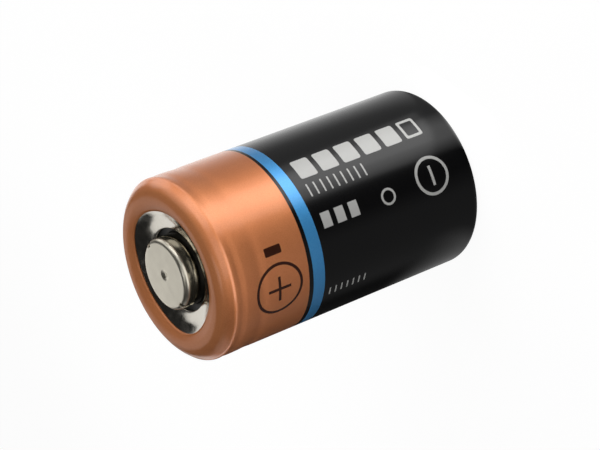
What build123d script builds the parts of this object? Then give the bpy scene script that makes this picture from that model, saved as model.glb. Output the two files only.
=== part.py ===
from build123d import *
from math import ceil, cos, degrees, radians, sin, tan
import os

# CR2-size lithium cell: a crimped steel can in a printed film, with its closure and wound electrodes.
# Millimetres, +Z up. The cell stands on its negative end, where the origin is in the middle, and +Z
# runs along its axis to the positive contact. Outline corners are (radius, height, rounding).

# ---- finished cell
cell_diameter = 15.6        # over the film
cell_height = 26.9
shoulder_drop = 0.44        # from the positive contact down to the film's highest point
shoulder_radius = 1.6       # film's outside, round the positive end
base_corner = 0.8           # film's outside, round the negative end
crimp_slope = 20.0          # degrees by which the positive end dishes inwards

# ---- printed film
film_wall = 0.1
skin_gap = 0.01             # fit between faces that lie on each other
film_fold = 1.0             # inwards from the shoulder's centre to the film's edge at the positive end
film_base_fold = 0.8        # width of the flat rim that the film makes round the negative contact

# ---- can
can_wall = 0.25
contact_gap = 0.15          # from the edge of the raised negative contact to the film round it
bead_mouth = 1.0            # height of the groove rolled into the wall under the closure
bead_depth = 0.5
bead_slope = 45.0           # degrees of its lower flank, while the upper one is level
closure_drop = 3.45         # from the positive contact down to the ledge that carries the closure

# ---- gasket
gasket_wall = 0.45          # upright wall round the closure
gasket_foot = 0.4           # thickness under the contact plate
gasket_foot_width = 1.0
gasket_show = 0.47          # width of the ring that shows between the cap and the can's crimped edge
gasket_lip_gap = 0.04       # between the upper lip and the cap

# ---- closure
stack_gap = 0.02            # between the gasket's wall and the pieces stacked inside it
plate_thickness = 0.3
gas_hole_radius = 0.45
gas_hole_circle = 1.6       # radius of the ring of gas holes
gas_holes = 2
vent_thickness = 0.1

# ---- positive cap
cap_radius = 3.03
cap_wall = 0.3
cap_rounding = 0.3
dimple_radius = 0.42
dimple_depth = 0.14
notch_width = 0.5
notch_depth = 0.45          # inwards from the cap's side
notch_height = 1.1          # down from the cap's top
notch_angle = 14.5          # degrees from +X to the first notch
notches = 2

# ---- wound electrodes
roll_core_radius = 1.6
roll_turns = 5
roll_side_gap = 0.12        # between the outermost turn and the can
turn_gap = 0.04             # between one turn and the next

# ---- insulating discs
disc_thickness = 0.2
disc_hole_radius = 1.6
disc_side_gap = 0.15
disc_face_gap = 0.05        # between a disc and what lies against it

# ---- tabs
tab_width = 1.6
tab_thickness = 0.12
tab_bend = 0.2              # inside radius of the bends
tab_reach = 1.0             # from the axis to a tab's outer face inside the core
tab_tail = 3.0              # length of each tab inside the core
cathode_tab_fold = 4.2      # how far out the cathode's tab loops under the contact plate

# ---- roundings are cut as flats, which keeps the solids light: degrees turned by each flat
seen_flat = 30.0
hidden_flat = 70.0
turn_flat = 20.0            # round the electrode roll

# ---- worked out from the sizes above
cell_radius = cell_diameter / 2
shoulder_centre_radius = cell_radius - shoulder_radius
shoulder_centre_height = cell_height - shoulder_drop - shoulder_radius
film_mouth = shoulder_centre_radius - film_fold
film_base_mouth = cell_radius - base_corner - film_base_fold
contact_radius = film_base_mouth - contact_gap
can_depth = film_wall + skin_gap    # of the can's outside below the film's outside
can_radius = cell_radius - can_depth
can_bore = can_radius - can_wall
can_floor = can_depth + can_wall
can_corner = base_corner - can_floor
lip_radius = cap_radius + gasket_show
seat_height = cell_height - closure_drop    # of the ledge that the groove makes inside the can
ledge_height = seat_height - can_wall       # of the groove's upper flank, outside
plate_height = seat_height + gasket_foot
vent_height = plate_height + plate_thickness
flange_height = vent_height + vent_thickness
flange_top = flange_height + cap_wall
gasket_radius = can_bore - skin_gap
gasket_foot_radius = gasket_radius - gasket_foot_width
stack_radius = gasket_radius - gasket_wall - stack_gap
half_tab = tab_thickness / 2
standing = (Align.CENTER, Align.CENTER, Align.MIN)


def crimp_height(radius, depth):
    """Height of the dished positive end, for a surface that lies depth below the film's outside."""
    crown = shoulder_centre_height + (shoulder_radius - depth) / cos(radians(crimp_slope))
    return crown + (radius - shoulder_centre_radius) * tan(radians(crimp_slope))


def bead_low(inset):
    """Height at which the groove's lower flank leaves the wall, on a face inset into the can."""
    return ledge_height - bead_mouth - inset * tan(radians(90 - bead_slope) / 2)


def flattened(line, flat):
    """The line's straight runs, and its arcs as chords that each turn by no more than flat degrees."""
    chords = []
    for edge in line.edges():
        turn = degrees(edge.length / edge.radius) if edge.geom_type == GeomType.CIRCLE else 0
        count = max(1, ceil(round(turn / flat, 3)))
        chords += [Line(edge @ (i / count), edge @ ((i + 1) / count)) for i in range(count)]
    return chords


def spun(outline):
    return revolve(Plane.XZ * make_face(outline), axis=Axis.Z)


def turned(corners, flat=hidden_flat):
    """Solid of revolution from a closed outline."""
    points = [(radius, height) for radius, height, _ in corners]
    roundings = [rounding for *_, rounding in corners]
    return spun(flattened(FilletPolyline(*points, radius=roundings, close=True), flat))


def sheet(outside, inside, flat=hidden_flat):
    """Thin wall spun between two open rows of corners, whose ends are joined straight across."""
    outline = [Line(outside[end][:2], inside[end][:2]) for end in (0, -1)]
    for corners, cut in ((outside, flat), (inside, hidden_flat)):
        points = [(radius, height) for radius, height, _ in corners]
        roundings = [rounding for *_, rounding in corners[1:-1]]
        outline += flattened(FilletPolyline(*points, radius=roundings), cut)
    return spun(outline)


def ring(bore, radius, base, thickness):
    return Pos(0, 0, base) * (Cylinder(radius, thickness, align=standing) - Cylinder(bore, thickness, align=standing))


def film_skin(inset):
    """One face of the film, from its opening round the negative contact to the one at the positive end."""
    edge = cell_radius - inset
    return [
        (film_base_mouth, inset, 0),
        (edge, inset, base_corner - inset),
        (edge, crimp_height(edge, inset), shoulder_radius - inset),
        (film_mouth, crimp_height(film_mouth, inset), 0),
    ]


def make_sleeve():
    return sheet(film_skin(0), film_skin(film_wall), seen_flat)


def can_skin(inset):
    """One face of the can's wall, from its floor, round its bead, to the edge of its crimped mouth."""
    edge = can_radius - inset
    depth = can_depth + inset
    lip = lip_radius + inset * sin(radians(crimp_slope))
    return [
        (contact_radius, depth, 0),
        (edge, depth, base_corner - depth),
        (edge, bead_low(inset), 0),
        (edge - bead_depth, bead_low(inset) + bead_depth * tan(radians(bead_slope)), 0),
        (edge - bead_depth, ledge_height + inset, 0),
        (edge, ledge_height + inset, 0),
        (edge, crimp_height(edge, depth), shoulder_radius - depth),
        (lip, crimp_height(lip, depth), 0),
    ]


def make_can():
    """Drawn can, whose thicker floor ends in a flat contact level with the film's rim."""
    contact = [(0, 0, 0), (contact_radius, 0, 0)]
    return sheet(contact + can_skin(0), [(0, can_floor, 0)] + can_skin(can_wall)[1:])


def make_gasket():
    """Wall round the closure, a foot under it, and an upper lip that fills the crimp as far as the cap."""
    depth = can_depth + can_wall + skin_gap
    mouth = cap_radius + gasket_lip_gap
    bore = gasket_radius - gasket_wall
    return turned([
        (gasket_foot_radius, seat_height, 0),
        (gasket_radius, seat_height, 0),
        (gasket_radius, crimp_height(gasket_radius, depth), shoulder_radius - depth),
        (mouth, crimp_height(mouth, depth), 0),
        (mouth, flange_top, 0),
        (bore, flange_top, 0),
        (bore, plate_height, 0),
        (gasket_foot_radius, plate_height, 0),
    ])


def make_plate():
    """Plate with gas holes, set clear of the cathode's tab that is welded under it along X."""
    plate = Cylinder(stack_radius, plate_thickness, align=standing)
    hole = Cylinder(gas_hole_radius, plate_thickness, align=standing)
    holes = PolarLocations(gas_hole_circle, gas_holes, start_angle=180 / gas_holes) * hole
    return Pos(0, 0, plate_height) * (plate - holes)


def make_vent():
    return Pos(0, 0, vent_height) * Cylinder(stack_radius, vent_thickness, align=standing)


def make_cap():
    """Pressed cap on a wide flange, dimpled in the middle and notched through its rim to let gas out."""
    bore = cap_radius - cap_wall
    cap = turned([
        (bore, flange_height, 0),
        (stack_radius, flange_height, 0),
        (stack_radius, flange_top, 0),
        (cap_radius, flange_top, 0),
        (cap_radius, cell_height, cap_rounding),
        (dimple_radius, cell_height, 0),
        (0, cell_height - dimple_depth, 0),
        (0, cell_height - cap_wall, 0),
        (bore, cell_height - cap_wall, 0),
    ], seen_flat)
    notch = Pos(cap_radius, 0, cell_height) * Box(2 * notch_depth, notch_width, 2 * notch_height)
    for index in range(notches):
        cap -= Rot(0, 0, notch_angle + index * 360 / notches) * notch
    return cap


def make_roll():
    """Wound strip whose half turns are struck from two centres, half a pitch apart."""
    outer = can_bore - roll_side_gap
    pitch = (outer - roll_core_radius + turn_gap) / (roll_turns + 0.75)
    centres = [Pos(-pitch / 4, 0), Pos(pitch / 4, 0)]

    def wall(offset):
        arcs = []
        for half in range(2 * roll_turns):
            radius = roll_core_radius + half * pitch / 2 + offset
            arcs.append(centres[half % 2] * CenterArc((0, 0), radius, 180 * (half % 2), 180))
        return arcs

    inside, outside = wall(0), wall(pitch - turn_gap)
    outline = [Line(inside[end] @ at, outside[end] @ at) for end, at in ((0, 0), (-1, 1))]
    for arc in inside + outside:
        outline += flattened(arc, turn_flat)
    return Pos(0, 0, roll_base) * extrude(make_face(outline), roll_top - roll_base)


def make_tab(*path):
    """Flat strip folded along a path of (x, z) points, which is the middle of its thickness."""
    middle = Wire(flattened(FilletPolyline(*path, radius=tab_bend + half_tab), hidden_flat))
    strip = offset(middle, half_tab, kind=Kind.INTERSECTION)
    return extrude(Plane.XZ * make_face(strip.edges()), tab_width / 2, both=True)


# the electrodes' height, between a disc on the can's floor and one under the bead
lower_disc_height = can_floor + skin_gap
roll_base = lower_disc_height + disc_thickness + disc_face_gap
upper_disc_height = bead_low(can_wall) - disc_face_gap - disc_thickness
roll_top = upper_disc_height - disc_face_gap

# the tabs' runs
tab_x = tab_reach - half_tab
tab_floor = can_floor + skin_gap + half_tab
loop_height = upper_disc_height + disc_thickness + disc_face_gap + half_tab
weld_height = plate_height - skin_gap - half_tab

parts = {
    "printed_sleeve": make_sleeve(),
    "cell_can": make_can(),
    "sealing_gasket": make_gasket(),
    "positive_cap": make_cap(),
    "vent_disc": make_vent(),
    "contact_plate": make_plate(),
    "upper_insulator": ring(disc_hole_radius, can_bore - disc_side_gap, upper_disc_height, disc_thickness),
    "electrode_roll": make_roll(),
    "cathode_tab": make_tab(
        (tab_x, roll_top - tab_tail),
        (tab_x, loop_height),
        (cathode_tab_fold, loop_height),
        (cathode_tab_fold, weld_height),
        (tab_x, weld_height),
    ),
    "anode_tab": make_tab(
        (-tab_x, roll_base + tab_tail),
        (-tab_x, tab_floor),
        (tab_x, tab_floor),
    ),
    "lower_insulator": ring(disc_hole_radius, can_bore - can_corner, lower_disc_height, disc_thickness),
}

os.makedirs("parts", exist_ok=True)
for node, solid in parts.items():
    export_step(solid, f"parts/{node}.step")
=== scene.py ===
from math import radians

import bmesh
import bpy
import numpy as np
from mathutils import Matrix, Vector


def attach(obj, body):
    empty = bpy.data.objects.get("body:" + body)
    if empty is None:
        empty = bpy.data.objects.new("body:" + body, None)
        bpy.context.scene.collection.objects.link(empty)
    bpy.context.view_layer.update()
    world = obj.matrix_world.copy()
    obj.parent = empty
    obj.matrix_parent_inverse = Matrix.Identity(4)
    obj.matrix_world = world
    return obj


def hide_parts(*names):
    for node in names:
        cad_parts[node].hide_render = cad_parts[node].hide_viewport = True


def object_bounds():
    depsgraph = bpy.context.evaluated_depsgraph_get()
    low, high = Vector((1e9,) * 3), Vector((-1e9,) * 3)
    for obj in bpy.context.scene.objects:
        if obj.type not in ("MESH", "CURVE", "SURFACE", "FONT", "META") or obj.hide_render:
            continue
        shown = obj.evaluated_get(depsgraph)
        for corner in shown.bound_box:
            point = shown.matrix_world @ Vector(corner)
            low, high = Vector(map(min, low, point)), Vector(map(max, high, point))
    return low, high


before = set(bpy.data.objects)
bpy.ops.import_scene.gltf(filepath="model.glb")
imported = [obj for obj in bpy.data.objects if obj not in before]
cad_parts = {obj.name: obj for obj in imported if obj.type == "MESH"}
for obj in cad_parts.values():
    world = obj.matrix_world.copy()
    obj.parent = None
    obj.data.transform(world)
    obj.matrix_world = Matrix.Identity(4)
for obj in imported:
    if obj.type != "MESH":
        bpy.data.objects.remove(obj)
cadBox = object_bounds()
mm = 0.001


# small helpers

# sRGB hex to linear: below 0.04045 divide by 12.92, above it ((c + 0.055) / 1.055) to the power 2.4.
def hexColor(text):
    value = np.array([int(text[i:i + 2], 16) / 255 for i in (1, 3, 5)])
    linear = np.where(value <= 0.04045, value / 12.92, ((value + 0.055) / 1.055) ** 2.4)
    return (*linear.tolist(), 1.0)


def newMaterial(name):
    material = bpy.data.materials.new(name)
    material.use_nodes = True
    material.node_tree.nodes.clear()
    return material, material.node_tree


# Adds a node with its settings, fills its inputs, in their order or by the keys of a dict, with values or
# links, and gives one of its outputs.
def addNode(tree, kind, inputs=(), output=0, **settings):
    node = tree.nodes.new("ShaderNode" + kind)
    for key, value in settings.items():
        setattr(node, key, value)
    if not isinstance(inputs, dict):
        inputs = dict(enumerate(inputs))
    for key, value in inputs.items():
        if isinstance(value, bpy.types.NodeSocket):
            tree.links.new(value, node.inputs[key])
        else:
            node.inputs[key].default_value = value
    return node.outputs[output] if node.outputs else None


def newObject(name, data):
    item = bpy.data.objects.new(name, data)
    bpy.context.scene.collection.objects.link(item)
    return item


# Points along an open row of (radius, height, rounding) corners. A rounding is an arc tangent to both runs,
# struck from its centre in equal steps of turn, a pitch or less apart. Points along a straight run are up to
# four pitches apart.
def roundedPath(corners, pitch):
    corners = np.array(corners, float)
    xy, rounding = corners[:, :2], corners[:, 2]
    stops = [xy[0]]
    for i in range(1, len(xy) - 1):
        if rounding[i] <= 0:
            stops.append(xy[i])
            continue
        back, ahead = xy[i - 1] - xy[i], xy[i + 1] - xy[i]
        back, ahead = back / np.linalg.norm(back), ahead / np.linalg.norm(ahead)
        half = np.arccos(np.clip(back @ ahead, -1, 1)) / 2
        bisector = (back + ahead) / np.linalg.norm(back + ahead)
        centre = xy[i] + bisector * rounding[i] / np.sin(half)
        touching = [xy[i] + way * rounding[i] / np.tan(half) for way in (back, ahead)]
        first, last = (np.arctan2(*(point - centre)[::-1]) for point in touching)
        turn = (last - first + np.pi) % (2 * np.pi) - np.pi
        steps = max(4, int(np.ceil(abs(turn) * rounding[i] / pitch)))
        angle = first + turn * np.linspace(0, 1, steps + 1)
        stops.extend(centre + rounding[i] * np.column_stack([np.cos(angle), np.sin(angle)]))
    stops.append(xy[-1])
    path = [stops[0]]
    for a, b in zip(stops[:-1], stops[1:]):
        run = np.linalg.norm(b - a)
        if run < 1e-6:
            continue
        steps = max(1, int(np.ceil(run / (pitch * 4))))
        path.extend(a + (b - a) * np.linspace(0, 1, steps + 1)[1:, None])
    return np.array(path)


# Object from points in millimetres and quads: the doubles that close a pole are merged and every face is
# turned outwards.
def meshObject(name, points, quads):
    mesh = bpy.data.meshes.new(name)
    mesh.from_pydata((points * mm).tolist(), [], quads.tolist())
    work = bmesh.new()
    work.from_mesh(mesh)
    bmesh.ops.remove_doubles(work, verts=work.verts, dist=1e-8)
    bmesh.ops.dissolve_degenerate(work, edges=work.edges, dist=1e-9)
    bmesh.ops.recalc_face_normals(work, faces=work.faces)
    for face in work.faces:
        face.smooth = True
    work.to_mesh(mesh)
    work.free()
    return newObject(name, mesh)


# Surface of revolution: (radius, height) of the profile by angle, with radius * (sin, -cos) as x and y.
# shape(radius, height, angle) may move the grid's points. A closed profile gives a ring-shaped skin.
def turnedSurface(name, profile, shape=None, closed=True):
    rows, columns = len(profile), cell["columns"]
    angle = np.linspace(0, 2 * np.pi, columns, endpoint=False)
    radius, height = (np.repeat(profile[:, k, None], columns, 1) for k in (0, 1))
    if shape:
        radius, height = shape(radius, height, angle[None, :])
    grid = np.stack([radius * np.sin(angle), -radius * np.cos(angle), height], -1)
    row = np.arange(rows if closed else rows - 1)[:, None]
    column = np.arange(columns)[None, :]
    below, beside = (row + 1) % rows, (column + 1) % columns
    quads = np.stack(np.broadcast_arrays(row * columns + column, row * columns + beside,
                                         below * columns + beside, below * columns + column), -1)
    return meshObject(name, grid.reshape(-1, 3), quads.reshape(-1, 4))


def placePiece(piece, node, material):
    piece.data.materials.append(material)
    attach(piece, "root")
    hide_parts(node)
    print("made", piece.name, len(piece.data.polygons), "faces")


# the cell's shared sizes, in millimetres

cell = {
    "radius": round(cadBox[1][0] / mm, 3),   # both from the frame's own box
    "height": round(cadBox[1][2] / mm, 3),
    "shoulderRadius": 1.6,
    "shoulderHeight": 24.86,                 # of the shoulder's centre
    "baseCorner": 0.8,
    "crimpSlope": 20.0,
    "columns": 384,                          # faces round a turned piece
}
slope = np.tan(radians(cell["crimpSlope"]))
shoulderCentre = cell["radius"] - cell["shoulderRadius"]


# Height of the dished end for a face that lies depth under the film: a cone tangent to the shoulder.
def crimpHeight(radius, depth):
    crown = cell["shoulderHeight"] + (cell["shoulderRadius"] - depth) / np.cos(radians(cell["crimpSlope"]))
    return crown + (radius - shoulderCentre) * slope


# printed film

film = {
    "wall": 0.08,
    "mouth": 5.2,
    "mouthWall": 0.03,        # the shrunk edge is thinner than the rest
    "baseMouth": 6.2,
    "shoulderTilt": 50.0,     # of the end's outer slope, from the axis
    "shoulderBend": 0.55,
    "side": (6.9, 7.4),       # radii between which the end becomes the side
    "bodyInset": 0.03,        # of the body below the shoulder's crest
    "crest": (22.9, 24.4),    # heights between which the inset ends
    "hollows": [              # height, width and depth: over the can's bead, and where the shoulder begins
        (22.75, 0.4, 0.03),
        (24.78, 0.2, 0.05),
    ],
    "mouthWave": [(1, 0.117, 76), (3, 0.134, 28), (4, 0.02, -64), (5, 0.035, -127)],   # count, size, phase
    "waveEnd": 6.6,           # radius that the mouth's waves reach
    "ridgeDepth": 0.007,
    "ridgePitch": 0.62,
    "ridgeBand": (5.45, 5.8, 7.1, 7.5),   # radii where ridges start, are full, start to fade and end
    "ridgeSway": (1.5, 0.6),              # radians of phase, and the angle from which they are counted
    "ridgeSide": (0.35, 0.5, -0.2, 0.9),  # share on the faint side, turn, and cosines between which it grows
    "creaseAngle": -84,
    "creaseDepth": 0.012,
    "creaseWidth": 0.12,
    "creaseBand": (5.5, 5.9, 7.2, 7.6),
    "pitch": 0.07,
    "innerPitch": 0.2,
}


# Rises from nought at low to one at high, as t * t * (3 - 2 * t).
def smoothStep(low, high, value):
    t = np.clip((value - low) / (high - low), 0, 1)
    return t * t * (3 - 2 * t)


# Rises over the first two limits and falls over the last two.
def band(limits, value):
    return smoothStep(*limits[:2], value) * (1 - smoothStep(*limits[2:], value))


# The side is drawn in by the body's inset plus the hollows, which are bell curves of height. Near the mouth,
# radii are stretched so that the edge follows mean + sum of waves, and heights follow the cone. Ridges are
# sines of the radius under a slow sine of angle, and the crease is a bell curve across one angle.
def shapeFilm(radius, height, angle):
    s = film
    inset = s["bodyInset"] * (1 - smoothStep(*s["crest"], height))
    for middle, width, depth in s["hollows"]:
        inset = inset + depth * np.exp(-((height - middle) / width) ** 2)
    radius = radius - inset * smoothStep(*s["side"], radius)

    end = height > cell["shoulderHeight"]
    near = end * (1 - smoothStep(s["mouth"], s["waveEnd"], radius))
    wave = sum(size * np.cos(count * angle - radians(phase)) for count, size, phase in s["mouthWave"])
    radius = radius + wave * near
    height = height + wave * near * slope * near

    sway, swayFrom = s["ridgeSway"]
    least, faintTurn, *growth = s["ridgeSide"]
    ridge = np.sin(2 * np.pi * radius / s["ridgePitch"] + sway * np.sin(angle - swayFrom))
    share = least + (1 - least) * smoothStep(*growth, np.cos(angle + faintTurn))
    height = height + s["ridgeDepth"] * ridge * share * end * band(s["ridgeBand"], radius)

    turn = (angle - radians(s["creaseAngle"]) + np.pi) % (2 * np.pi) - np.pi
    crease = np.exp(-(turn * radius / s["creaseWidth"]) ** 2) * end * band(s["creaseBand"], radius)
    return radius, height - s["creaseDepth"] * crease


# Corners of the film's positive end, depth under its face: the slope that is tangent to the shoulder's
# circle at the tilt meets the side, and then the dished cone.
def filmEnd(depth, mouthDepth):
    s, c = film, cell
    tilt = radians(s["shoulderTilt"])
    size = c["shoulderRadius"] - depth
    touch = np.array([shoulderCentre + size * np.sin(tilt), c["shoulderHeight"] + size * np.cos(tilt)])
    side = c["radius"] - depth
    sideTop = touch[1] - (side - touch[0]) * np.tan(tilt)
    crown = crimpHeight(shoulderCentre, depth)
    rise = touch[1] + touch[0] * np.tan(tilt) - crown + shoulderCentre * slope
    meeting = rise / (np.tan(tilt) + slope)
    return [(side, sideTop, s["shoulderBend"]),
            (meeting, crimpHeight(meeting, depth), size),
            (s["mouth"], crimpHeight(s["mouth"], mouthDepth), 0)]


# The outer face from the base's opening to the mouth, and the inner one back, a wall under it.
def filmProfile():
    s, c = film, cell
    wall = s["wall"]
    outside = roundedPath([(s["baseMouth"], 0.0, 0),
                           (c["radius"], 0.0, c["baseCorner"]),
                           *filmEnd(0, wall - s["mouthWall"])], s["pitch"])
    inside = roundedPath([(s["baseMouth"], wall, 0),
                          (c["radius"] - wall, wall, c["baseCorner"] - wall),
                          *filmEnd(wall, wall)], s["innerPitch"])
    return np.vstack([outside, inside[::-1]])


# steel can

can = {
    "radius": 7.665,
    "wall": 0.25,
    "depth": 0.11,            # under the film
    "contactRadius": 6.05,
    "contactStep": 0.05,      # width of the step from the contact to the rim under the film
    "contactBends": (0.05, 0.04),
    "beadLow": 22.15,
    "beadHigh": 23.25,
    "beadDepth": 0.5,
    "beadFlat": 0.15,         # half the height of the bead's floor
    "beadBends": (0.12, 0.2, 0.1),   # roundings of its floor, its shoulders and the shoulders inside
    "lip": 3.5,
    "lipRounding": 0.12,
    "bowl": 0.07,             # sag of the crimped ring between its lip and the film
    "bowlStart": 0.1,         # from the lip
    "hiddenFrom": 4.0,        # radius under the cone from which the points are sparser
    "pitch": 0.08,
    "innerPitch": 0.3,
}


# Drawn cup: floor, side, bead rolled inwards, and the mouth crimped over as a cone, then back inside a wall
# away. The cone's seen ring sags by half a sine wave from its lip to the film.
def canProfile():
    s, c = can, cell
    depth, wall, flat = s["depth"], s["wall"], s["beadFlat"]
    stepOut, stepIn = s["contactBends"]
    floorBend, outerBend, innerBend = s["beadBends"]
    inner = s["radius"] - wall
    middle = (s["beadLow"] + s["beadHigh"]) / 2
    beadOut, beadIn = s["radius"] - s["beadDepth"], inner - s["beadDepth"]
    lean = radians(c["crimpSlope"])
    lipOut = (s["lip"], crimpHeight(s["lip"], depth))
    lipIn = (s["lip"] + wall * np.sin(lean), lipOut[1] - wall * np.cos(lean))
    under = (s["hiddenFrom"], crimpHeight(s["hiddenFrom"], depth + wall), 0)
    outer = roundedPath([
        (0.0, 0.0, 0),
        (s["contactRadius"], 0.0, stepOut),
        (s["contactRadius"] + s["contactStep"], depth, stepIn),
        (s["radius"], depth, c["baseCorner"] - depth),
        (s["radius"], s["beadLow"], outerBend),
        (beadOut, middle - flat, floorBend),
        (beadOut, middle + flat, floorBend),
        (s["radius"], s["beadHigh"], outerBend),
        (s["radius"], crimpHeight(s["radius"], depth), c["shoulderRadius"] - depth),
        (*lipOut, s["lipRounding"]),
        (*lipIn, s["lipRounding"]),
        under,
    ], s["pitch"])
    hidden = roundedPath([
        under,
        (inner, crimpHeight(inner, depth + wall), c["shoulderRadius"] - depth - wall),
        (inner, s["beadHigh"], innerBend),
        (beadIn, middle + flat, outerBend),
        (beadIn, middle - flat, outerBend),
        (inner, s["beadLow"], innerBend),
        (inner, depth + wall, c["baseCorner"] - depth - wall),
        (0.0, depth + wall, 0),
    ], s["innerPitch"])
    path = np.concatenate([outer, hidden[1:]])
    onCone = np.abs(path[:, 1] - crimpHeight(path[:, 0], depth)) < 0.01
    start = s["lip"] + s["bowlStart"]
    across = np.clip((path[:, 0] - start) / (film["mouth"] - start), 0, 1)
    path[:, 1] -= s["bowl"] * np.sin(np.pi * across) * onCone
    return path


# gasket

gasket = {
    "bore": 3.07,
    "boreRounding": 0.06,
    "radius": 7.4,
    "depth": 0.37,            # under the film
    "foot": (6.43, 23.5),     # inner radius and height of the part under the cap's flange
    "seat": (6.95, 23.85, 24.56),   # radius round the flange, and heights of its two faces
    "pitch": 0.1,
}


# Hooked ring: up the outside, in under the can's cone to the bore, and back round the flange's edge.
def gasketProfile():
    s, c = gasket, cell
    footBore, footHeight = s["foot"]
    seatRadius, seatLow, seatHigh = s["seat"]
    return roundedPath([
        (footBore, footHeight, 0),
        (s["radius"], footHeight, 0),
        (s["radius"], crimpHeight(s["radius"], s["depth"]), c["shoulderRadius"] - s["depth"]),
        (s["bore"], crimpHeight(s["bore"], s["depth"]), s["boreRounding"]),
        (s["bore"], seatHigh, 0),
        (seatRadius, seatHigh, 0),
        (seatRadius, seatLow, 0),
        (footBore, seatLow, 0),
        (footBore, footHeight, 0),
    ], s["pitch"])[:-1]


# positive cap

cap = {
    "radius": 3.05,
    "wall": 0.28,
    "rounding": 0.42,
    "flangeRadius": 6.94,
    "flangeTop": 24.55,
    "flangeRounding": 0.08,
    "dimpleRadius": 0.5,
    "dimpleDepth": 0.12,
    "dimpleFlat": 0.2,        # share of the dimple's radius that is its floor
    "dimpleBends": (0.1, 0.2),
    "columns": 360,
    "notchAngles": (104.5, 284.5),
    "notchTurn": 9,           # degrees, a whole number of columns
    "notchInner": 2.55,
    "notchHeight": 25.8,
    "notchEdge": 0.03,
    "pitch": 0.03,
}


# Outer face of the cap from the dimple's floor to the flange's edge.
def capProfile():
    s, top = cap, cell["height"]
    floorBend, edgeBend = s["dimpleBends"]
    return roundedPath([
        (0.0, top - s["dimpleDepth"], 0),
        (s["dimpleRadius"] * s["dimpleFlat"], top - s["dimpleDepth"], floorBend),
        (s["dimpleRadius"], top, edgeBend),
        (s["radius"], top, s["rounding"]),
        (s["radius"], s["flangeTop"], s["flangeRounding"]),
        (s["flangeRadius"], s["flangeTop"], 0),
    ], s["pitch"])


# Pressed sheet: the inner face is the outer one moved along its normal by the wall. Each notch drops the
# cells in its window from both faces, and walls join the two faces round the window.
def capPiece(name):
    s = cap
    outer = capProfile()
    along = np.gradient(outer, axis=0)
    along /= np.linalg.norm(along, axis=1)[:, None]
    inner = outer + np.column_stack([along[:, 1], -along[:, 0]]) * s["wall"]
    inner[:, 0] = np.maximum(inner[:, 0], 0)
    inner[0, 0] = 0
    rows, columns = len(outer), s["columns"]
    angle = np.radians(np.arange(columns) * 360 / columns)
    skin = np.stack([outer, inner])
    x = skin[:, :, 0, None] * np.sin(angle)
    y = -skin[:, :, 0, None] * np.cos(angle)
    z = np.repeat(skin[:, :, 1, None], columns, 2)
    points = np.stack([x, y, z], -1).reshape(-1, 3)
    middle = (np.arange(columns) + 0.5) * 360 / columns
    fromNotch = [np.abs((middle - notch + 180) % 360 - 180) for notch in s["notchAngles"]]
    inNotch = np.min(fromNotch, 0) < s["notchTurn"] / 2
    inWindow = (outer[:-1, 0] >= s["notchInner"]) & (outer[:-1, 1] > s["notchHeight"])
    cut = inWindow[:, None] & inNotch[None, :]

    def quads(*corners):
        places = [(side * rows + row) * columns + column % columns for side, row, column in corners]
        return np.stack(np.broadcast_arrays(*places), -1).reshape(-1, 4)

    side, row, column = np.meshgrid(range(2), range(rows - 1), range(columns), indexing="ij")
    keep = ~cut[row, column].reshape(-1)
    faces = quads((side, row, column), (side, row, column + 1),
                  (side, row + 1, column + 1), (side, row + 1, column))
    ring, last = np.arange(columns), rows - 1
    edge = quads((0, last, ring), (0, last, ring + 1), (1, last, ring + 1), (1, last, ring))
    r, c = np.nonzero(cut != np.roll(cut, 1, axis=1))
    sides = quads((0, r, c), (0, r + 1, c), (1, r + 1, c), (1, r, c))
    r, c = np.nonzero(np.diff(cut.astype(int), axis=0))
    ends = quads((0, r + 1, c), (0, r + 1, c + 1), (1, r + 1, c + 1), (1, r + 1, c))
    piece = meshObject(name, points, np.vstack([faces[keep], edge, sides, ends]))
    bevel = piece.modifiers.new("notchEdge", "BEVEL")
    bevel.limit_method, bevel.angle_limit = "ANGLE", radians(60)
    bevel.width, bevel.segments = s["notchEdge"] * mm, 2
    return piece


# finishes

noiseSpread = (0.3, 0.7)   # where most of a noise's values lie


# Object coordinates in millimetres, as a vector and as its three parts.
def objectAxes(tree):
    metres = addNode(tree, "TexCoord", output="Object")
    place = addNode(tree, "VectorMath", {0: metres, 3: 1 / mm}, operation="SCALE")
    parts = addNode(tree, "SeparateXYZ", [place]).node.outputs
    return place, parts[0], parts[1], parts[2]


# Angle round the cell from -Y towards +X, in radians.
def sideAngle(tree, x, y):
    forward = addNode(tree, "Math", [y, -1], operation="MULTIPLY")
    return addNode(tree, "Math", [x, forward], operation="ARCTAN2")


# Root of u * u + v * v.
def span(tree, u, v):
    squares = [addNode(tree, "Math", [part, part], operation="MULTIPLY") for part in (u, v)]
    total = addNode(tree, "Math", squares, operation="ADD")
    return addNode(tree, "Math", [total], operation="SQRT")


# The largest of several masks at each point.
def joined(tree, masks):
    whole = masks[0]
    for mask in masks[1:]:
        whole = addNode(tree, "Math", [whole, mask], operation="MAXIMUM")
    return whole


# Each ink or tone covers what is under it as far as its mask says.
def layered(tree, color, *covers):
    for mask, cover in covers:
        color = addNode(tree, "Mix", {0: mask, 6: color, 7: cover}, 2, data_type="RGBA")
    return color


# The material's surface, a principled shader with these inputs.
def finish(tree, inputs):
    shader = addNode(tree, "BsdfPrincipled", inputs)
    addNode(tree, "OutputMaterial", {"Surface": shader})


# print on the film

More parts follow.
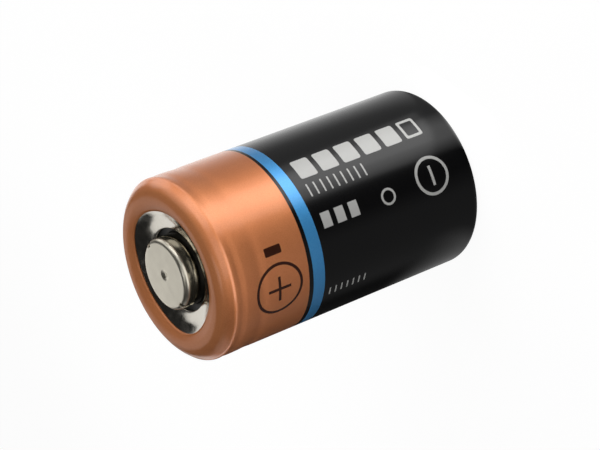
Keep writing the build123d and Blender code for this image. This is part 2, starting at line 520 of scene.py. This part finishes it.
inks = {
    "black": "#0c0c0d",
    "white": "#cacac7",
    "mark": "#3d1b0d",
    "copper": ("#ee955f", "#f9a46c", "#e48c58"),        # dark grain, light grain, blotches
    "blue": ("#50aef2", "#5ebaf8"),
    "copperFrom": 17.99, "copperTilt": (0.07, -0.28),   # height in the middle, and rise at +X and +Y
    "lineFrom": 17.63, "lineTilt": (0.16, -0.27),
    "blueFrom": 16.65, "blueTilt": (0.22, -0.11),
    "edge": 0.04,                                       # width over which one ink ends
    "corner": 0.08,
    "rowReach": 9,                                      # length round that holds any row
    "gauge": {"angle": 31, "low": 3.2, "cells": 6, "pitch": 2.2, "size": (1.9, 1.7), "corner": 0.35,
              "margin": 0.1, "line": 0.25, "hollowCorner": 0.2},
    "strokes": [(16, 9.9, 16.2, 0.7, 1.15, 0.15),       # angle, low, high, pitch, length round, width
                (-51, 12.0, 16.2, 0.6, 0.75, 0.14)],
    "blocks": (-4, 12.0, 16.2, 1.4, 1.3, 0.9),
    "ring": (-4.8, 9.15, 0.62, 0.2),                    # angle, height, radius, line
    "minus": (-2.5, 4.4, 1.55, 0.26, 1.7),              # the same, and the length of the bars in the ring
    "plus": (-34, 21.1, 2.15, 0.26, 2.2),
    "bar": (-9.5, 21.2, 0.75, 1.6, 0.2),                # angle, height, length round, length up, corner
}
filmFinish = {
    "grain": 0.09, "grainDepth": 0.004,           # coarser than in real ink, so that it shows
    "blotch": 2.5, "blotchShare": 0.35,
    "roughness": (0.48, 0.58),
    "coatRoughness": 0.22, "coatIOR": 1.58,
    "endRadius": (6.9, 7.5), "endHeight": 25.0,   # where the end stops, which has shrunk most
    "endPaintedShade": 0.3,                              # painted shade: how much darker the inks are painted there
    "coat": (1, 0.3),                             # on the side and on the end, which is duller
    "luster": (0.9, 0.35),                        # metallic of the pearl inks, likewise
}


# How far a value lies from a middle.
def offset(tree, value, middle):
    gap = addNode(tree, "Math", [value, middle], operation="SUBTRACT")
    return addNode(tree, "Math", [gap], operation="ABSOLUTE")


# Offsets from a mark's middle, along the side at its angle and in height.
def fromMiddle(tree, around, z, degrees, height):
    return offset(tree, around, radians(degrees) * cell["radius"]), offset(tree, z, height)


# Offset from the middle of the nearest one in a row that starts at low: the remainder of height over pitch.
def repeated(tree, z, low, pitch):
    risen = addNode(tree, "Math", [z, low], operation="SUBTRACT")
    return offset(tree, addNode(tree, "Math", [risen, pitch], operation="FLOORED_MODULO"), pitch / 2)


# Signed distance to a box with soft corners: the smooth larger of its two overhangs.
def boxShape(tree, u, v, sizeU, sizeV, corner=inks["corner"]):
    overU = addNode(tree, "Math", [u, sizeU / 2], operation="SUBTRACT")
    overV = addNode(tree, "Math", [v, sizeV / 2], operation="SUBTRACT")
    return addNode(tree, "Math", [overU, overV, corner], operation="SMOOTH_MAX")


# Signed distance to the line of a ring.
def ringShape(tree, u, v, radius, line):
    return addNode(tree, "Math", [offset(tree, span(tree, u, v), radius), line / 2], operation="SUBTRACT")


# One inside a shape and nought outside, from the signed distance to it.
def inside(tree, distance):
    return addNode(tree, "MapRange", [distance, -inks["edge"] / 2, inks["edge"] / 2, 1, 0])


# Bars of equal pitch up the side, within the box of the whole row.
def barRow(tree, around, z, degrees, low, high, pitch, across, width):
    u, v = fromMiddle(tree, around, z, degrees, (low + high) / 2)
    whole = boxShape(tree, u, v, inks["rowReach"], high - low)
    bars = boxShape(tree, u, repeated(tree, z, low, pitch), across, width)
    return inside(tree, addNode(tree, "Math", [whole, bars], operation="MAXIMUM"))


# Row of white cells, of which the lowest is only an outline.
def gaugeMask(tree, around, z):
    s = inks["gauge"]
    width, height = s["size"]
    gap = s["pitch"] - height
    run = s["cells"] * s["pitch"] - gap
    u, v = fromMiddle(tree, around, z, s["angle"], s["low"] + run / 2)
    cellV = repeated(tree, z, s["low"] - gap / 2, s["pitch"])
    whole = boxShape(tree, u, v, inks["rowReach"], run + s["margin"])
    cells = boxShape(tree, u, cellV, width, height, s["corner"])
    gauge = inside(tree, addNode(tree, "Math", [whole, cells], operation="MAXIMUM"))
    line = 2 * s["line"]
    hollow = inside(tree, boxShape(tree, u, cellV, width - line, height - line, s["hollowCorner"]))
    lowest = addNode(tree, "Math", [z, s["low"] + s["pitch"]], operation="LESS_THAN")
    emptied = addNode(tree, "Math", [hollow, lowest], operation="MULTIPLY")
    return addNode(tree, "Math", [gauge, emptied], operation="SUBTRACT", use_clamp=True)


# All that is printed in white.
def whiteMask(tree, around, z):
    rows = [barRow(tree, around, z, *spec) for spec in (*inks["strokes"], inks["blocks"])]
    degrees, height, *ring = inks["ring"]
    small = inside(tree, ringShape(tree, *fromMiddle(tree, around, z, degrees, height), *ring))
    degrees, height, radius, line, length = inks["minus"]
    u, v = fromMiddle(tree, around, z, degrees, height)
    large = inside(tree, ringShape(tree, u, v, radius, line))
    minus = inside(tree, boxShape(tree, u, v, length, line))
    return joined(tree, [gaugeMask(tree, around, z), *rows, small, large, minus])


# Ring with a plus in it, and a short bar beside it.
def markMask(tree, around, z):
    degrees, height, radius, line, length = inks["plus"]
    u, v = fromMiddle(tree, around, z, degrees, height)
    arms = [boxShape(tree, u, v, length, line), boxShape(tree, u, v, line, length)]
    plus = addNode(tree, "Math", arms, operation="MINIMUM")
    ringed = addNode(tree, "Math", [ringShape(tree, u, v, radius, line), plus], operation="MINIMUM")
    degrees, height, *bar = inks["bar"]
    short = boxShape(tree, *fromMiddle(tree, around, z, degrees, height), *bar)
    return joined(tree, [inside(tree, ringed), inside(tree, short)])


# One over a line whose height leans round the cell: base + rise * (x or y) / radius.
def above(tree, x, y, z, base, tilt):
    rises = [addNode(tree, "Math", [part, rise / cell["radius"]], operation="MULTIPLY")
             for part, rise in zip((x, y), tilt)]
    lean = addNode(tree, "Math", rises, operation="ADD")
    level = addNode(tree, "Math", [z, lean], operation="SUBTRACT")
    over = addNode(tree, "Math", [level, base], operation="SUBTRACT")
    return addNode(tree, "MapRange", [over, -inks["edge"] / 2, inks["edge"] / 2, 0, 1])


# Gravure-printed shrink film, clear gloss over copper and blue pearl inks and a dense black: the eye sees
# a metallic band with fine grain, a hard-edged blue line and a deep black with soft reflections.
def printedFilm():
    s, f = inks, filmFinish
    material, tree = newMaterial("printedShrinkFilm")
    place, x, y, z = objectAxes(tree)
    around = addNode(tree, "Math", [sideAngle(tree, x, y), cell["radius"]], operation="MULTIPLY")
    copperMask = above(tree, x, y, z, s["copperFrom"], s["copperTilt"])
    lineMask = above(tree, x, y, z, s["lineFrom"], s["lineTilt"])
    blueMask = addNode(tree, "Math", [above(tree, x, y, z, s["blueFrom"], s["blueTilt"]), lineMask],
                       operation="SUBTRACT", use_clamp=True)
    white, mark = whiteMask(tree, around, z), markMask(tree, around, z)
    pearls = addNode(tree, "Math", [blueMask, copperMask], operation="ADD")
    pearl = addNode(tree, "Math", [pearls, mark], operation="SUBTRACT", use_clamp=True)
    within = addNode(tree, "MapRange", [span(tree, x, y), *f["endRadius"], 1, 0])
    high = addNode(tree, "Math", [z, f["endHeight"]], operation="GREATER_THAN")
    onEnd = addNode(tree, "Math", [within, high], operation="MULTIPLY")
    # painted shade: the inks on the end are darkened towards black
    paintedEndShade = addNode(tree, "Math", [onEnd, f["endPaintedShade"]], operation="MULTIPLY")

    grain = addNode(tree, "TexNoise", {"Vector": place, "Scale": 1 / f["grain"], "Detail": 2.0})
    blotch = addNode(tree, "TexNoise", {"Vector": place, "Scale": 1 / f["blotch"], "Detail": 2.0})
    speckles = addNode(tree, "MapRange", [grain, *noiseSpread, 0, 1])
    blotches = addNode(tree, "MapRange", [blotch, *noiseSpread, 0, f["blotchShare"]])
    darkCopper, lightCopper, dullCopper = map(hexColor, s["copper"])
    darkBlue, lightBlue = map(hexColor, s["blue"])
    copperInk = layered(tree, darkCopper, (speckles, lightCopper), (blotches, dullCopper))
    blueInk = layered(tree, darkBlue, (speckles, lightBlue))
    ink = layered(tree, hexColor(s["black"]), (white, hexColor(s["white"])), (blueMask, blueInk),
                  (copperMask, copperInk), (mark, hexColor(s["mark"])), (paintedEndShade, hexColor("#000000")))
    luster = addNode(tree, "MapRange", [onEnd, 0, 1, *f["luster"]])
    depth = f["grainDepth"] * mm
    finish(tree, {
        "Base Color": ink,
        "Metallic": addNode(tree, "Math", [pearl, luster], operation="MULTIPLY"),
        "Roughness": addNode(tree, "MapRange", [grain, 0, 1, *f["roughness"]]),
        "Specular IOR Level": 0.0,
        "Coat Weight": addNode(tree, "MapRange", [onEnd, 0, 1, *f["coat"]]),
        "Coat Roughness": f["coatRoughness"],
        "Coat IOR": f["coatIOR"],
        "Normal": addNode(tree, "Bump", {"Strength": 0.5, "Distance": depth, "Height": grain}),
    })
    return material


# plated steel and the hidden pieces

# Noise in blotches of the size given, in millimetres, and a colour that follows it from dark to light.
def mottled(tree, place, size, detail, dark, light):
    mottle = addNode(tree, "TexNoise", {"Vector": place, "Scale": 1 / size, "Detail": detail})
    return mottle, layered(tree, hexColor(dark), (mottle, hexColor(light)))


canFinish = {
    "dark": "#bfbaaf", "light": "#d2cdc3",
    "haze": 0.6,
    "roughness": (0.1, 0.2),
    "pits": 0.15, "pitDepth": 0.002,
}


# Nickel-plated, drawn steel: nearly a mirror, a little hazy and uneven where the crimping roll worked it.
def brightNickel():
    s = canFinish
    material, tree = newMaterial("nickelPlatedSteel")
    place, *_ = objectAxes(tree)
    haze, color = mottled(tree, place, s["haze"], 3.0, s["dark"], s["light"])
    pits = addNode(tree, "TexNoise", {"Vector": place, "Scale": 1 / s["pits"], "Detail": 3.0})
    finish(tree, {
        "Base Color": color,
        "Metallic": 1.0,
        "Roughness": addNode(tree, "MapRange", [haze, *noiseSpread, *s["roughness"]]),
        "Normal": addNode(tree, "Bump", {"Strength": 0.3, "Distance": s["pitDepth"] * mm, "Height": pits}),
    })
    return material


capFinish = {
    "dark": "#c6c0b0", "light": "#d8d2c3",
    "mottle": 0.8,
    "roughness": (0.3, 0.38),
    "grain": 0.08, "grainDepth": 0.003,
    "wallTop": (26.35, 26.6),   # heights over which the bright wall gives way to the satin face
    "wallGloss": 0.22,          # how much less rough the wall is
}


# Pressed, nickel-plated strip: a satin face, warm and faintly mottled where it was tumbled, over a wall
# that the drawing die left bright.
def satinNickel():
    s = capFinish
    material, tree = newMaterial("satinNickelStrip")
    place, _, _, z = objectAxes(tree)
    mottle, color = mottled(tree, place, s["mottle"], 4.0, s["dark"], s["light"])
    grain = addNode(tree, "TexNoise", {"Vector": place, "Scale": 1 / s["grain"], "Detail": 2.0})
    satin = addNode(tree, "MapRange", [mottle, *noiseSpread, *s["roughness"]])
    wallGloss = addNode(tree, "MapRange", [z, *s["wallTop"], s["wallGloss"], 0])
    depth = s["grainDepth"] * mm
    finish(tree, {
        "Base Color": color,
        "Metallic": 1.0,
        "Roughness": addNode(tree, "Math", [satin, wallGloss], operation="SUBTRACT"),
        "Normal": addNode(tree, "Bump", {"Strength": 0.3, "Distance": depth, "Height": grain}),
    })
    return material


def plainFinish(name, dark, light, metallic, roughness, size):
    material, tree = newMaterial(name)
    place, *_ = objectAxes(tree)
    mottle, color = mottled(tree, place, size, 3.0, dark, light)
    finish(tree, {
        "Base Color": color,
        "Metallic": metallic,
        "Roughness": addNode(tree, "MapRange", [mottle, 0.2, 0.8, roughness - 0.05, roughness + 0.05]),
        "Normal": addNode(tree, "Bump", {"Strength": 0.3, "Distance": 0.004 * mm, "Height": mottle}),
    })
    return material


# Finish's name, dark and light colour, metallic, roughness and size of the mottle. The gasket is nearly
# black and shines softly. Hidden pieces are bright foil, dull grey steel, milky plastic and sooty powder.
blackGasket = plainFinish("mouldedPolypropylene", "#060606", "#101010", 0.0, 0.45, 0.3)
hiddenFinishes = {
    "vent_disc": ("aluminiumFoil", "#b8b8b8", "#d0d0d0", 1.0, 0.3, 0.5),
    "contact_plate": ("stampedSteel", "#8f8e8b", "#a5a4a0", 1.0, 0.4, 0.5),
    "upper_insulator": ("whitePolypropylene", "#cfcdc4", "#dedcd4", 0.0, 0.5, 0.6),
    "lower_insulator": ("whitePolypropyleneBase", "#cfcdc4", "#dedcd4", 0.0, 0.5, 0.6),
    "electrode_roll": ("pressedOxide", "#141415", "#242426", 0.0, 0.8, 0.2),
    "cathode_tab": ("rolledSteelStrip", "#8f8e8b", "#a5a4a0", 1.0, 0.35, 0.4),
    "anode_tab": ("rolledSteelStripBase", "#8f8e8b", "#a5a4a0", 1.0, 0.35, 0.4),
}
for node, settings in hiddenFinishes.items():
    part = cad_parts[node]
    part.data.materials.clear()
    part.data.materials.append(plainFinish(*settings))
print("finished", len(hiddenFinishes), "hidden pieces")

filmWrap = turnedSurface("film_wrap", filmProfile(), shapeFilm)
placePiece(filmWrap, "printed_sleeve", printedFilm())
canShell = turnedSurface("can_shell", canProfile(), closed=False)
placePiece(canShell, "cell_can", brightNickel())
gasketRing = turnedSurface("gasket_ring", gasketProfile())
placePiece(gasketRing, "sealing_gasket", blackGasket)
contactCap = capPiece("contact_cap")
placePiece(contactCap, "positive_cap", satinNickel())


# floor

floorPaint = {
    "reach": 1500,
    "white": 1.10,
    "color": "#e6e6e6",       # as the view sees it
    "cameraLift": 0.85,       # share of plain white that the view adds to it, the rest keeps the shadow
    # painted shade: the floor's tone in reflections and in bounced light, where no white is lifted
    "mirroredShadeColor": "#383838",
    "mirroredShadeEdge": (80, 140),    # distance from the cell over which the painted shade gives way to white
    "footGlow": (9, 17),      # distance over which the painted glow at the foot gives way to the painted shade, on the cell's left
    "footTone": 0.29,
    "footFront": (-66, -45),  # angles round the cell over which that glow ends
    "footBack": (-179, -158),
    "paintedHighlights": [               # painted highlights: side angle and blur of the two edges, and how white it is between them
        (12, 0.1, 32, 0.12, 1.0),
        (64, 0.4, 88, 0.04, 1.0),
        (30, 0.1, 70, 0.1, 0.2),
        (-58, 0.14, -12, 0.16, 0.09),
    ],
}


# White paint whose view is lifted towards plain white. Gloss and metal show it as white too, but for a
# painted shade round the cell's foot: a dark card seen only in reflections; to the lamps' bounce the whole
# floor is that dark. Wedges in it, open or half open, are painted reflections that make the highlights down
# the cell's side: each edge is the line in which a level eye sees the floor by the side at that angle. Close
# to the foot, on the cell's left, lies a painted glow.
def paintFloor(tree):
    s = floorPaint
    rays = addNode(tree, "LightPath").node.outputs
    _, x, y, _ = objectAxes(tree)
    far = span(tree, x, y)
    turn = addNode(tree, "Math", [sideAngle(tree, x, y), 180 / np.pi], operation="MULTIPLY")

    # Share of white past the line at a side angle a: (x cos 2a + y sin 2a + radius sin a) / distance.
    def past(degrees, blur):
        a = radians(degrees)
        parts = [addNode(tree, "Math", [part, share], operation="MULTIPLY")
                 for part, share in ((x, np.cos(2 * a)), (y, np.sin(2 * a)))]
        lean = addNode(tree, "Math", parts, operation="ADD")
        over = addNode(tree, "Math", [lean, cell["radius"] * np.sin(a)], operation="ADD")
        off = addNode(tree, "Math", [over, far], operation="DIVIDE")
        return addNode(tree, "MapRange", [off, -blur, blur, 0, 1])

    # A painted highlight in reflections, the tone between the two edges: past(low) * (tone - tone *
    # past(high)).
    def wedge(low, lowBlur, high, highBlur, tone):
        beyond = addNode(tree, "Math", [past(high, highBlur), tone], operation="MULTIPLY")
        left = addNode(tree, "Math", [tone, beyond], operation="SUBTRACT")
        return addNode(tree, "Math", [past(low, lowBlur), left], operation="MULTIPLY")

    # painted glow that gloss sees on the floor close to the cell's foot, on its left
    foot = addNode(tree, "MapRange", [far, *s["footGlow"], s["footTone"], 0])
    for start, end, tones in ((*s["footFront"], (1, 0)), (*s["footBack"], (0, 1))):
        fade = addNode(tree, "MapRange", [turn, start, end, *tones])
        foot = addNode(tree, "Math", [foot, fade], operation="MULTIPLY")
    # past the painted shade, gloss sees the white floor
    around = addNode(tree, "MapRange", [far, *s["mirroredShadeEdge"], 0, 1])
    floorWhiteAndPaintedGlow = joined(tree, [around, foot, *(wedge(*spec) for spec in s["paintedHighlights"])])

    seen = addNode(tree, "Math", [rays["Is Camera Ray"], s["cameraLift"]], operation="MULTIPLY")
    mirrored = joined(tree, [rays["Is Glossy Ray"], rays["Is Transmission Ray"]])
    lift = joined(tree, [seen, addNode(tree, "Math", [mirrored, floorWhiteAndPaintedGlow], operation="MULTIPLY")])
    tone = layered(tree, hexColor(s["mirroredShadeColor"]), (rays["Is Camera Ray"], hexColor(s["color"])))
    paint = addNode(tree, "BsdfDiffuse", [tone])
    white = addNode(tree, "Emission", {"Color": (1, 1, 1, 1), "Strength": s["white"]})
    addNode(tree, "OutputMaterial", {"Surface": addNode(tree, "MixShader", [lift, paint, white])})


floorMaterial, floorTree = newMaterial("whiteFloor")
paintFloor(floorTree)
reach = floorPaint["reach"] * mm
corners = [(-reach, -reach, 0), (reach, -reach, 0), (reach, reach, 0), (-reach, reach, 0)]
floorMesh = bpy.data.meshes.new("floor")
floorMesh.from_pydata(corners, [], [(0, 1, 2, 3)])
floorMesh.materials.append(floorMaterial)
newObject("floor", floorMesh)
print("laid the floor")


# lamps

upperPart = (0, 0, 20)
stripFacing = (-7.31, 6.82, 1.2)   # from a strip to the point that it faces
strips = {                         # close to the side: place, width and height, and how bright the face is
    "strip": ((6.73, -10.38, 13), (8.5, 26), 0.4),
    "stripCore": ((7.0, -10.08, 13), (4, 26), 0.5),
}
# Azimuth from -Y towards +X, elevation and distance from the cell's upper part, width and height, how
# bright the face is, and a twist in its own plane.
lamps = {
    "glint": (69, 15, 150, (200, 16), 3.0, -14),   # the thin line along the shoulder
    "key": (62, 35, 260, (200, 140), 1.8),
    "right": (105, 42, 200, (110, 110), 0.9),
    "rightLow": (122, 14, 200, (95, 90), 1.4),
    "overhead": (-60, 76, 300, (110, 110), 1.6),
    "leftLow": (-125, 18, 200, (80, 80), 0.4),
    "front": (-24, 13, 300, (400, 150), 1.8),
    "frontHigh": (-5, 45, 300, (220, 140), 1.0),
}
backLamp = ((180, 24, 80), (0, 0, 24), (46, 48), 1.05)   # the cap's face mirrors it
worldStrength = 0.02


# Soft lamp whose face has the radiance given: watts are radiance times pi times its area. Twist turns it
# in its own plane, in degrees.
def lightPanel(name, centre, target, size, radiance, twist=0.0):
    lamp = bpy.data.lights.new(name, "AREA")
    lamp.shape = "RECTANGLE"
    lamp.size, lamp.size_y = size[0] * mm, size[1] * mm
    lamp.energy = radiance * np.pi * lamp.size * lamp.size_y
    holder = newObject(name, lamp)
    centre, target = Vector(centre) * mm, Vector(target) * mm
    holder.location = centre
    aim = (target - centre).to_track_quat("-Z", "Y").to_matrix() @ Matrix.Rotation(radians(twist), 3, "Z")
    holder.rotation_euler = aim.to_euler()
    holder.visible_camera = False


# Point by azimuth, elevation and distance from the cell's upper part.
def direction(azimuth, elevation, distance):
    a, e = radians(azimuth), radians(elevation)
    level = distance * np.cos(e)
    return (level * np.sin(a), -level * np.cos(a), upperPart[2] + distance * np.sin(e))


for name, (centre, size, radiance) in strips.items():
    lightPanel(name, centre, Vector(centre) + Vector(stripFacing), size, radiance)
for name, (azimuth, elevation, distance, size, *rest) in lamps.items():
    lightPanel(name, direction(azimuth, elevation, distance), upperPart, size, *rest)
place, target, size, radiance = backLamp
lightPanel("back", direction(*place), target, size, radiance)

world = bpy.data.worlds.new("softRoom")
world.use_nodes = True
background = world.node_tree.nodes["Background"]
background.inputs["Color"].default_value = (1, 1, 1, 1)
background.inputs["Strength"].default_value = worldStrength
bpy.context.scene.world = world
bpy.context.scene.view_settings.view_transform = "Standard"
print("lit by", len(strips) + len(lamps) + 1, "lamps")


# camera

viewpoint = {
    "lens": 140.42, "sensor": 36.0, "nearest": 0.001,
    "distance": 195.0,
    "elevation": 31.35,
    "roll": 111.36,
    "aim": 13.5,               # height of the point that it looks at
    "shift": (0.0048, -0.0024),
}

camera = bpy.data.cameras.new("camera")
camera.lens, camera.sensor_width = viewpoint["lens"], viewpoint["sensor"]
camera.clip_start = viewpoint["nearest"]
camera.shift_x, camera.shift_y = viewpoint["shift"]
elevation, roll = radians(viewpoint["elevation"]), radians(viewpoint["roll"])
back = Vector((0, -np.cos(elevation), np.sin(elevation)))
right = Vector((1, 0, 0))
up = back.cross(right)
rolledRight = right * np.cos(roll) - up * np.sin(roll)
rolledUp = right * np.sin(roll) + up * np.cos(roll)
basis = Matrix((rolledRight, rolledUp, back)).transposed().to_4x4()
basis.translation = (Vector((0, 0, viewpoint["aim"])) + back * viewpoint["distance"]) * mm
cameraHolder = newObject("camera", camera)
cameraHolder.matrix_world = basis
bpy.context.scene.camera = cameraHolder
print("set the camera")
